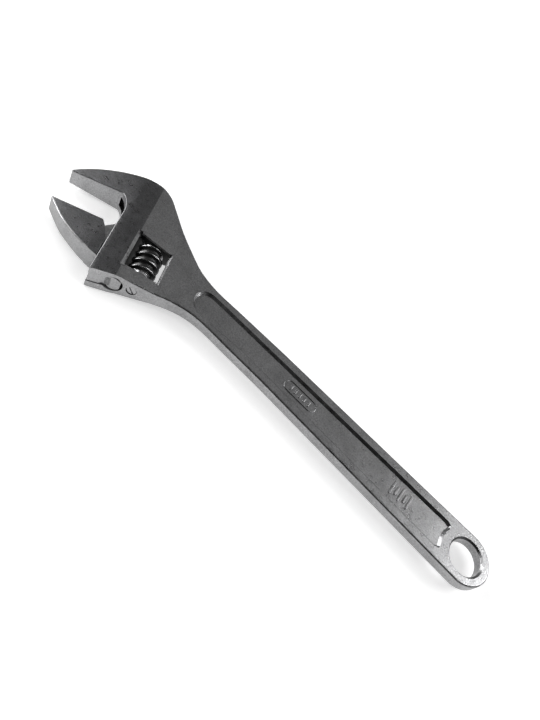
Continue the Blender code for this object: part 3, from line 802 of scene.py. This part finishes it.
def make_worm():
    low = WORM_TOP
    high = WORM_TOP + WORM_LENGTH
    collar = WORM_ROOT_RADIUS - COLLAR_STEP
    reach = WORM_RADIUS + FIT_GAP
    barrel_profile = [
        (0.0, high),
        (collar - COLLAR_EDGE, high),
        (collar, high - COLLAR_EDGE),
        (collar, high - COLLAR_LENGTH),
        (reach, high - COLLAR_LENGTH - WORM_END_CHAMFER),
        (reach, low + COLLAR_LENGTH + WORM_END_CHAMFER),
        (collar, low + COLLAR_LENGTH),
        (collar, low + COLLAR_EDGE),
        (collar - COLLAR_EDGE, low),
        (0.0, low),
    ]
    half_land = WORM_LAND / 2
    flank = half_land + WORM_FLANK
    upper = [
        (WORM_ROOT_RADIUS, WORM_PITCH / 2),
        (WORM_ROOT_RADIUS, flank + 0.35 * MM),
        (WORM_ROOT_RADIUS + 0.10 * MM, flank + 0.13 * MM),
        (WORM_ROOT_RADIUS + 0.35 * MM, flank - 0.08 * MM),
        (WORM_RADIUS - 0.50 * MM, half_land + 0.12 * MM),
        (WORM_RADIUS - 0.30 * MM, half_land + 0.02 * MM),
        (WORM_RADIUS - 0.12 * MM, half_land - 0.14 * MM),
        (WORM_RADIUS - 0.02 * MM, half_land - 0.36 * MM),
        (WORM_RADIUS, half_land - 0.6 * MM),
    ]
    heights = upper + [(radius, -height) for radius, height in reversed(upper)]
    knurl = worm("worm_thread", heights, low, high)
    combined(knurl, turned("knurl_barrel", barrel_profile, worm_frame()), "INTERSECT")
    bore = rod("knurl_bore", PIN_RADIUS + FIT_GAP, low - CUT_ROOM, high + CUT_ROOM, worm_frame())
    combined(knurl, bore, "DIFFERENCE")
    seat_radius = SPRING_RADIUS + SPRING_WIRE_RADIUS + FIT_GAP
    seat_end = spring_top() + SPRING_LENGTH + FIT_GAP
    seat = rod("spring_seat", seat_radius, low - CUT_ROOM, seat_end, worm_frame())
    combined(knurl, seat, "DIFFERENCE")
    return knurl


def make_pin():
    head_top = pin_head_top()
    profile = [
        (0.0, head_top),
        (PIN_HEAD_RADIUS - 0.6 * MM, head_top),
        (PIN_HEAD_RADIUS - 0.2 * MM, head_top - 0.12 * MM),
        (PIN_HEAD_RADIUS, head_top - 0.5 * MM),
        (PIN_HEAD_RADIUS, head_top - PIN_HEAD_LENGTH),
        (PIN_RADIUS, head_top - PIN_HEAD_LENGTH),
        (PIN_RADIUS, pin_top() + PIN_END_CHAMFER),
        (PIN_RADIUS - PIN_END_CHAMFER, pin_top()),
        (0.0, pin_top()),
    ]
    pin = turned("slotted_pin", profile, worm_frame())
    half = PIN_SLOT_WIDTH / 2
    reach = 2 * PIN_HEAD_RADIUS
    slot_outline = [(-half, -reach), (half, -reach), (half, reach), (-half, reach)]
    slot_frame = worm_frame() @ Matrix.Rotation(PIN_SLOT_TURN, 4, "Z")
    slot = slab("pin_slot", slot_outline, head_top - PIN_SLOT_DEPTH, head_top + reach, slot_frame)
    return combined(pin, slot, "DIFFERENCE")


def make_spring():
    start = spring_top() + SPRING_WIRE_RADIUS
    rise = SPRING_LENGTH - 2 * SPRING_WIRE_RADIUS
    count = SPRING_TURNS * SPRING_STEPS
    curve = bpy.data.curves.new("coil", "CURVE")
    curve.dimensions = "3D"
    curve.bevel_depth = SPRING_WIRE_RADIUS
    curve.bevel_resolution = 3
    curve.use_fill_caps = True
    spline = curve.splines.new("POLY")
    spline.points.add(count)
    for index, point in enumerate(spline.points):
        angle = 2 * math.pi * index / SPRING_STEPS
        height = start + rise * index / count
        point.co = (SPRING_RADIUS * math.cos(angle), SPRING_RADIUS * math.sin(angle), height, 1.0)
    drawn = add_object("spring_path", curve, worm_frame())
    mesh = evaluated_mesh(drawn)
    bpy.data.objects.remove(drawn)
    return add_object("coil_spring", mesh, worm_frame())


def relief(name, outline, matrix):
    """A low raised mark standing on a panel's floor, with rounded edges."""
    floor = HANDLE_HALF_THICKNESS - PANEL_DEPTH
    mark = slab(name, outline, floor - MARK_SINK, floor + MARK_HEIGHT, matrix)
    return bevelled(mark, MARK_EDGE, MARK_EDGE_STEPS, MARK_EDGE_ANGLE, True)


def capsule_outline(radius):
    right = arc((CAPSULE_LENGTH / 2, 0.0), radius, -math.pi / 2, math.pi / 2)
    return right + arc((-CAPSULE_LENGTH / 2, 0.0), radius, math.pi / 2, 1.5 * math.pi)


def stroke_outline(x, half_length, corner):
    """A short bar across the handle."""
    low = x - MARK_HALF_WIDTH
    high = x + MARK_HALF_WIDTH
    corners = [(low, -half_length), (high, -half_length), (high, half_length), (low, half_length)]
    return rounded(corners, corner)


def make_marks():
    """Plain raised marks, with no lettering: a capsule of short bars, and a row of size ticks."""
    place = Matrix.Translation((CAPSULE_X, 0.0, 0.0))
    ring = relief("capsule", capsule_outline(CAPSULE_WIDTH / 2), place)
    hole = slab("capsule_hole", capsule_outline(CAPSULE_WIDTH / 2 - CAPSULE_BAND), 0.0, 0.1, place)
    combined(ring, hole, "DIFFERENCE")
    pieces = [ring]
    for index in range(BAR_COUNT):
        bar = stroke_outline((index - 2) * BAR_PITCH, BAR_HALF_LENGTH, BAR_CORNER)
        pieces.append(relief("capsule_bar", bar, place))
    place = Matrix.Translation((TICKS_X, 0.0, 0.0))
    for index, half_length in enumerate(TICK_HALF_LENGTHS):
        tick = stroke_outline((index - 2) * TICK_PITCH, half_length, TICK_CORNER)
        pieces.append(relief("size_tick", tick, place))
    return pieces


def joined(name, pieces):
    """One mesh of all the pieces, in the handle frame."""
    shape = bmesh.new()
    for piece in pieces:
        mesh = piece.data.copy()
        mesh.transform(piece.matrix_world)
        shape.from_mesh(mesh)
        bpy.data.meshes.remove(mesh)
        bpy.data.objects.remove(piece)
    return object_from(shape, name, Matrix())


def finished(obj, name, materials, sharp=32.0):
    """Named, shaded smooth with its true edges kept, and moved from the handle frame to the row frame."""
    obj.name = name
    obj.data.name = name
    obj.data.transform(obj.matrix_world)
    obj.matrix_world = Matrix.Translation(SHIFT)
    obj.data.materials.clear()
    for material in materials:
        obj.data.materials.append(material)
    obj.data.shade_smooth()
    obj.data.set_sharp_from_angle(angle=math.radians(sharp))
    weighted = obj.modifiers.new("weighted_normals", "WEIGHTED_NORMAL")
    weighted.keep_sharp = True
    weighted.weight = 90
    return obj


def plated_steel(name, colour, roughness, grain, grain_depth, mottle, speckle, lines=None, lines_depth=0.0):
    """Satin plated steel: a fine grain, cloudy changes of tone and gloss, and grinding lines if asked.

    grain is the noise's scale, and lines is that noise's scale along X, Y and Z and its turn about Z.
    """
    material = bpy.data.materials.new(name)
    material.use_nodes = True
    tree = material.node_tree
    shader = tree.nodes["Principled BSDF"]
    shader.inputs["Metallic"].default_value = 1.0
    place = tree.nodes.new("ShaderNodeTexCoord")

    def noise(scale, detail, stretch=None):
        node = tree.nodes.new("ShaderNodeTexNoise")
        node.inputs["Scale"].default_value = scale
        node.inputs["Detail"].default_value = detail
        if stretch is None:
            tree.links.new(place.outputs["Object"], node.inputs["Vector"])
            return node
        mapping = tree.nodes.new("ShaderNodeMapping")
        mapping.inputs["Rotation"].default_value = (0.0, 0.0, stretch[3])
        mapping.inputs["Scale"].default_value = stretch[:3]
        tree.links.new(place.outputs["Object"], mapping.inputs["Vector"])
        tree.links.new(mapping.outputs["Vector"], node.inputs["Vector"])
        return node

    def ramp(source, from_value, to_value):
        node = tree.nodes.new("ShaderNodeMapRange")
        node.inputs["From Min"].default_value = NOISE_LOW
        node.inputs["From Max"].default_value = NOISE_HIGH
        node.inputs["To Min"].default_value = from_value
        node.inputs["To Max"].default_value = to_value
        tree.links.new(source, node.inputs["Value"])
        return node.outputs["Result"]

    clouds = noise(CLOUD_SCALE, 4.0)
    specks = noise(grain, 2.0)
    tone = tree.nodes.new("ShaderNodeMix")
    tone.data_type = "RGBA"
    darker = [channel * (1.0 - mottle) for channel in colour]
    lighter = [min(1.0, channel * (1.0 + mottle)) for channel in colour]
    tone.inputs[MIX_A].default_value = (*darker, 1.0)
    tone.inputs[MIX_B].default_value = (*lighter, 1.0)
    tree.links.new(ramp(clouds.outputs["Fac"], 0.0, 1.0), tone.inputs["Factor"])
    fleck = tree.nodes.new("ShaderNodeMix")
    fleck.data_type = "RGBA"
    fleck.blend_type = "MULTIPLY"
    fleck.inputs["Factor"].default_value = 1.0
    tree.links.new(tone.outputs[MIX_RESULT], fleck.inputs[MIX_A])
    shade = tree.nodes.new("ShaderNodeCombineColor")
    level = ramp(specks.outputs["Fac"], 1.0 - speckle, 1.0 + LIGHT_SPECK_SHARE * speckle)
    for socket in ("Red", "Green", "Blue"):
        tree.links.new(level, shade.inputs[socket])
    tree.links.new(shade.outputs["Color"], fleck.inputs[MIX_B])
    tree.links.new(fleck.outputs[MIX_RESULT], shader.inputs["Base Color"])
    gloss = noise(GLOSS_SCALE, 3.0)
    rough = ramp(gloss.outputs["Fac"], roughness - GLOSSIER, roughness + DULLER)
    tree.links.new(rough, shader.inputs["Roughness"])
    bump = tree.nodes.new("ShaderNodeBump")
    bump.inputs["Strength"].default_value = 1.0
    bump.inputs["Distance"].default_value = grain_depth
    tree.links.new(specks.outputs["Fac"], bump.inputs["Height"])
    if lines:
        scratches = noise(1.0, 3.0, lines)
        second = tree.nodes.new("ShaderNodeBump")
        second.inputs["Distance"].default_value = lines_depth
        tree.links.new(scratches.outputs["Fac"], second.inputs["Height"])
        tree.links.new(second.outputs["Normal"], bump.inputs["Normal"])
    tree.links.new(bump.outputs["Normal"], shader.inputs["Normal"])
    return material


def paint_faces(obj, index_at):
    """Gives each face the material slot that index_at returns for its middle and normal in the head frame."""
    to_head = HEAD_FRAME.inverted()
    turn = to_head.to_3x3()
    for face in obj.data.polygons:
        face.material_index = index_at(to_head @ face.center, turn @ face.normal)


def area_light(name, place, target, width, height, power):
    lamp = bpy.data.lights.new(name, "AREA")
    lamp.shape = "RECTANGLE"
    lamp.size = width
    lamp.size_y = height
    lamp.energy = power
    made = add_object(name, lamp, Matrix())
    made.location = place
    made.rotation_euler = (Vector(target) - Vector(place)).to_track_quat("-Z", "Y").to_euler()


def matt(name, value):
    """A grey material with no gloss."""
    material = bpy.data.materials.new(name)
    material.use_nodes = True
    shader = material.node_tree.nodes["Principled BSDF"]
    shader.inputs["Base Color"].default_value = (value, value, value, 1.0)
    shader.inputs["Roughness"].default_value = 1.0
    shader.inputs["Specular IOR Level"].default_value = 0.0
    return material


def make_flag():
    """A bent black card on the camera's side of the studio, which gives the plated edges their dark lines."""
    shape = bmesh.new()
    rows = []
    for y, z in FLAG_BENDS:
        rows.append([shape.verts.new((x, y, z)) for x in FLAG_SPAN])
    for lower, upper in zip(rows, rows[1:]):
        shape.faces.new((lower[0], lower[1], upper[1], upper[0]))
    flag = object_from(shape, "black_flag", Matrix())
    flag.data.materials.append(matt("black_card", FLAG_COLOUR))
    flag.visible_camera = False
    flag.visible_shadow = False


def make_floor():
    """A pale floor that also glows, for the rays of the camera, of reflections and of transmission only."""
    shape = bmesh.new()
    bmesh.ops.create_grid(shape, x_segments=1, y_segments=1, size=FLOOR_HALF_SIZE)
    floor = object_from(shape, "floor", Matrix.Translation((0.0, 0.0, -FLOOR_GAP)))
    material = matt("pale_floor", FLOOR_COLOUR)
    tree = material.node_tree
    shader = tree.nodes["Principled BSDF"]
    glow = tree.nodes.new("ShaderNodeEmission")
    path = tree.nodes.new("ShaderNodeLightPath")

    def maths(operation):
        node = tree.nodes.new("ShaderNodeMath")
        node.operation = operation
        return node

    seen = maths("MAXIMUM")
    all_seen = maths("MAXIMUM")
    strength = maths("MULTIPLY")
    strength.inputs[1].default_value = FLOOR_GLOW
    total = tree.nodes.new("ShaderNodeAddShader")
    tree.links.new(path.outputs["Is Camera Ray"], seen.inputs[0])
    tree.links.new(path.outputs["Is Glossy Ray"], seen.inputs[1])
    tree.links.new(seen.outputs["Value"], all_seen.inputs[0])
    tree.links.new(path.outputs["Is Transmission Ray"], all_seen.inputs[1])
    tree.links.new(all_seen.outputs["Value"], strength.inputs[0])
    tree.links.new(strength.outputs["Value"], glow.inputs["Strength"])
    tree.links.new(shader.outputs["BSDF"], total.inputs[0])
    tree.links.new(glow.outputs["Emission"], total.inputs[1])
    tree.links.new(total.outputs["Shader"], tree.nodes["Material Output"].inputs["Surface"])
    floor.data.materials.append(material)


def make_world():
    """Pale at the horizon and darker overhead, as a studio is above its lamps."""
    world = bpy.data.worlds.new("studio")
    bpy.context.scene.world = world
    world.use_nodes = True
    tree = world.node_tree
    back = tree.nodes["Background"]
    place = tree.nodes.new("ShaderNodeTexCoord")
    split = tree.nodes.new("ShaderNodeSeparateXYZ")
    ramp = tree.nodes.new("ShaderNodeValToRGB")
    tree.links.new(place.outputs["Generated"], split.inputs["Vector"])
    tree.links.new(split.outputs["Z"], ramp.inputs["Fac"])
    tree.links.new(ramp.outputs["Color"], back.inputs["Color"])
    stops = ramp.color_ramp.elements
    stops[0].position = 0.0
    stops[0].color = (*[WORLD_HORIZON] * 3, 1.0)
    stops[1].position = 1.0
    stops[1].color = (*[WORLD_TOP] * 3, 1.0)
    for position, value in WORLD_STEPS:
        stop = stops.new(position)
        stop.color = (value, value, value, 1.0)
    back.inputs["Strength"].default_value = 1.0


def make_camera():
    data = bpy.data.cameras.new("camera")
    data.sensor_width = CAMERA_SENSOR
    data.sensor_height = CAMERA_SENSOR
    data.sensor_fit = "VERTICAL"
    data.lens = CAMERA_LENS
    data.shift_x, data.shift_y = CAMERA_SHIFT
    data.clip_start = CAMERA_CLIP
    turn = Euler([math.radians(angle) for angle in CAMERA_TURN], "XYZ")
    spot = Vector(CAMERA_PLACE) + SHIFT
    matrix = Matrix.Translation(spot) @ turn.to_matrix().to_4x4()
    bpy.context.scene.camera = add_object("camera", data, matrix)


for old in list(bpy.data.objects):
    bpy.data.objects.remove(old)
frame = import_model()
worm_joint = next(joint for joint in frame["joints"] if joint["name"] == "knurl_turn")
axis_spot = Vector(worm_joint["pos_m"])
worm_spot = HEAD_FRAME @ Vector((-WORM_AXIS, WORM_TOP + WORM_LENGTH / 2, 0.0))
SHIFT = axis_spot - worm_spot
SHIFT.z = HEAD_HALF_THICKNESS

forging = plated_steel(
    "forged_plating",
    colour=(0.34, 0.34, 0.345),
    roughness=0.31,
    grain=900.0,
    grain_depth=0.00011,
    mottle=0.12,
    speckle=0.30,
)
ground = plated_steel(
    "ground_plating",
    colour=(0.195, 0.195, 0.20),
    roughness=0.31,
    grain=900.0,
    grain_depth=0.00008,
    mottle=0.16,
    speckle=0.26,
    lines=(60.0, 900.0, 60.0, 0.42),
    lines_depth=0.00008,
)
jaw_steel = plated_steel(
    "jaw_plating",
    colour=(0.36, 0.36, 0.365),
    roughness=0.33,
    grain=900.0,
    grain_depth=0.0001,
    mottle=0.12,
    speckle=0.26,
    lines=(900.0, 50.0, 60.0, 0.42),
    lines_depth=0.0001,
)
# Bright colour that paints the highlights on the worm's crest edges and its ends.
painted_highlight_steel = plated_steel(
    "painted_highlight_plating",
    colour=(0.64, 0.64, 0.65),
    roughness=0.24,
    grain=1500.0,
    grain_depth=0.00003,
    mottle=0.10,
    speckle=0.12,
)
# Near-black colour that paints the dark reflection on the worm's lands.
painted_dark_reflection_steel = plated_steel(
    "painted_dark_reflection_plating",
    colour=(0.06, 0.06, 0.06),
    roughness=0.32,
    grain=1500.0,
    grain_depth=0.00003,
    mottle=0.20,
    speckle=0.20,
)
# Near-black colour for painted shade: the worm's grooves, the walls of its window and the rack's teeth.
painted_shade_steel = plated_steel(
    "painted_shade_plating",
    colour=(0.06, 0.06, 0.06),
    roughness=0.42,
    grain=1500.0,
    grain_depth=0.00003,
    mottle=0.20,
    speckle=0.20,
)
pin_steel = plated_steel(
    "pin_plating",
    colour=(0.36, 0.36, 0.365),
    roughness=0.30,
    grain=1500.0,
    grain_depth=0.00004,
    mottle=0.14,
    speckle=0.14,
)
wire_steel = plated_steel(
    "spring_wire",
    colour=(0.24, 0.24, 0.245),
    roughness=0.30,
    grain=2000.0,
    grain_depth=0.00003,
    mottle=0.10,
    speckle=0.12,
)


def body_face(place, normal):
    """Slot 1 for the head's ground cheeks, 2 for the worm window's walls, painted dark as shade, 0 for the
    rest.
    """
    if place.x > 0.0 and abs(normal.z) > FLAT_NORMAL and abs(place.z) > GROUND_HEAD_HEIGHT:
        return 1
    # The window's walls get the near-black colour: painted shade, where the walls lie in shadow.
    across = WINDOW_FRONT - WINDOW_WIDTH < place.x < WINDOW_FRONT + MM
    along = WORM_TOP - PAINTED_SHADE_WINDOW_ABOVE < place.y < BELLY - PAINTED_SHADE_WINDOW_BELOW
    return 2 if across and along and abs(normal.z) < WALL_NORMAL else 0


def worm_face(place, normal):
    """Slot 0 for the ends and flanks, painted bright as highlights; 1 for the grooves, painted dark as shade;
    2 for the lands, painted dark as a reflection.
    """
    reach = math.hypot(place.x + WORM_AXIS, place.z)
    # The worm's ends get the painted highlight.
    if not WORM_TOP + PAINTED_HIGHLIGHT_END < place.y < WORM_TOP + WORM_LENGTH - PAINTED_HIGHLIGHT_END:
        return 0
    # Crest edges get the painted highlight, the top of the land a painted dark reflection, and the grooves
    # below painted shade.
    if reach > WORM_RADIUS - PAINTED_HIGHLIGHT_CREST:
        return 2 if reach > WORM_RADIUS - PAINTED_REFLECTION_LAND else 0
    return 1


def jaw_face(place, normal):
    """Slot 0 for the ground cheeks, 2 for the rack's teeth, painted dark as shade inside the bore, 1 for the
    rest.
    """
    # The rack's teeth get the near-black colour: painted shade in the bore.
    if place.x < 0.0 and place.y < JAW_OPENING + RACK_TOP + RACK_LENGTH - MM:
        return 2
    return 0 if abs(normal.z) > FLAT_NORMAL and abs(place.z) > GROUND_JAW_HEIGHT else 1


forged = finished(make_body(), "forged_body", [forging, ground, painted_shade_steel])
marks = finished(joined("marks", make_marks()), "raised_marks", [forging])
jaw = finished(make_sliding_jaw(), "jaw_with_rack", [ground, jaw_steel, painted_shade_steel])
knurl = finished(make_worm(), "thumb_worm", [painted_highlight_steel, painted_shade_steel, painted_dark_reflection_steel], 40.0)
pin = finished(make_pin(), "slotted_pin", [pin_steel])
spring = finished(make_spring(), "coil_spring", [wire_steel], 60.0)
paint_faces(forged, body_face)
paint_faces(jaw, jaw_face)
paint_faces(knurl, worm_face)

rides = (
    (forged, "frame", "body"),
    (marks, "frame", None),
    (jaw, "jaw", "sliding_jaw"),
    (knurl, "worm", "knurl"),
    (pin, "frame", "knurl_pin"),
    (spring, "frame", "knurl_spring"),
)
for piece, body, node in rides:
    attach(piece, body)
    if node:
        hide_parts(node)
make_floor()
make_flag()
make_world()
for lamp in LAMPS:
    area_light(*lamp)
make_camera()
bpy.context.scene.view_settings.view_transform = "Standard"
